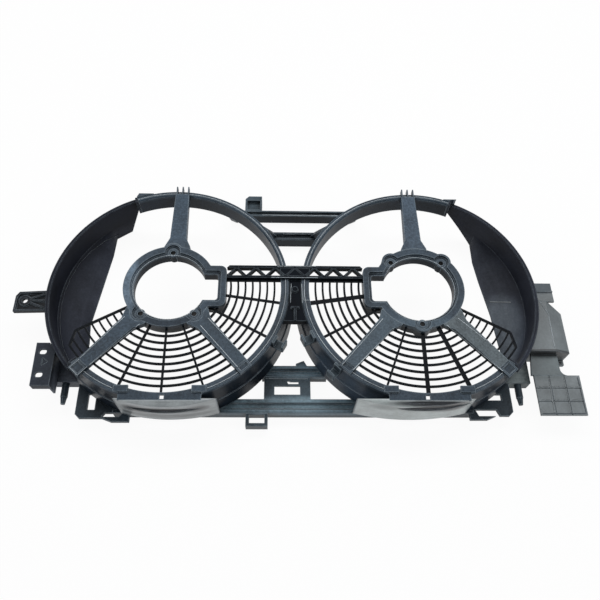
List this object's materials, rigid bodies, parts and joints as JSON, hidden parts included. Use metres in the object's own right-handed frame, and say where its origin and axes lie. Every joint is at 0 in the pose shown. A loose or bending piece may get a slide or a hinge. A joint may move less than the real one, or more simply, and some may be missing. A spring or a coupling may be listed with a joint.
{
  "type": "radiator fan shroud",
  "caption": "Twin fan shroud for a car radiator: two round throats with motor rings on arms, finger guards, a lattice beam, side walls, rails and brackets.",
  "frame": {"origin": "middle of the bounding box at the radiator face, the plane that the rails and side walls end in", "axes": "+X along the radiator, from the ear to the air deflector; +Y towards the top tank; +Z towards the engine, along the fan axes"},
  "size_m": [0.715, 0.347, 0.075],
  "materials": {
    "rail_plastic": "satin black polypropylene with a fine moulded grain",
    "beam_plastic": "satin black polypropylene with a fine moulded grain",
    "duct_plastic": "satin black polypropylene with a fine moulded grain",
    "ring_plastic": "satin black polypropylene with a fine moulded grain",
    "lower_cover_plastic": "satin black polypropylene with a fine moulded grain",
    "guard_plastic": "satin black polypropylene with a fine moulded grain",
    "panel_plastic": "satin black polypropylene with a fine moulded grain",
    "arm_plastic": "satin black polypropylene with a fine moulded grain",
    "motor_plastic": "satin black polypropylene with a fine moulded grain",
    "wall_plastic": "satin black polypropylene with a fine moulded grain"
  },
  "bodies": {
    "root": {"bottom_rail": "rail_plastic", "centre_bracket": "rail_plastic", "centre_web": "beam_plastic", "cover_hook": "duct_plastic", "crossbar": "rail_plastic", "deflector_neck": "duct_plastic", "deflector_plate": "duct_plastic", "duct_cover": "duct_plastic", "lattice_beam": "beam_plastic", "left_arm_feet": "ring_plastic", "left_bottom_cover": "lower_cover_plastic", "left_bottom_guard": "guard_plastic", "left_corner_frame": "rail_plastic", "left_ear": "panel_plastic", "left_fan_ring": "ring_plastic", "left_inner_arm": "arm_plastic", "left_inner_guard": "guard_plastic", "left_locating_peg": "rail_plastic", "left_lower_bracket": "panel_plastic", "left_motor_bosses": "motor_plastic", "left_motor_ring": "motor_plastic", "left_outer_arm": "arm_plastic", "left_outer_guard": "guard_plastic", "left_side_panel": "panel_plastic", "left_side_wall": "wall_plastic", "left_top_arm": "arm_plastic", "left_top_fins": "ring_plastic", "left_upper_gusset": "ring_plastic", "left_wire_guides": "rail_plastic", "rail_clip": "rail_plastic", "rail_stays": "rail_plastic", "right_arm_feet": "ring_plastic", "right_bottom_cover": "lower_cover_plastic", "right_bottom_guard": "guard_plastic", "right_corner_frame": "rail_plastic", "right_fan_ring": "ring_plastic", "right_inner_arm": "arm_plastic", "right_inner_guard": "guard_plastic", "right_locating_peg": "rail_plastic", "right_motor_bosses": "motor_plastic", "right_motor_ring": "motor_plastic", "right_outer_arm": "arm_plastic", "right_outer_guard": "guard_plastic", "right_side_panel": "panel_plastic", "right_side_wall": "wall_plastic", "right_top_arm": "arm_plastic", "right_top_fins": "ring_plastic", "right_upper_gusset": "ring_plastic", "right_wire_guides": "rail_plastic", "second_rail": "rail_plastic", "top_post": "rail_plastic", "top_rail": "rail_plastic", "upper_plate": "duct_plastic"}
  },
  "joints": []
}
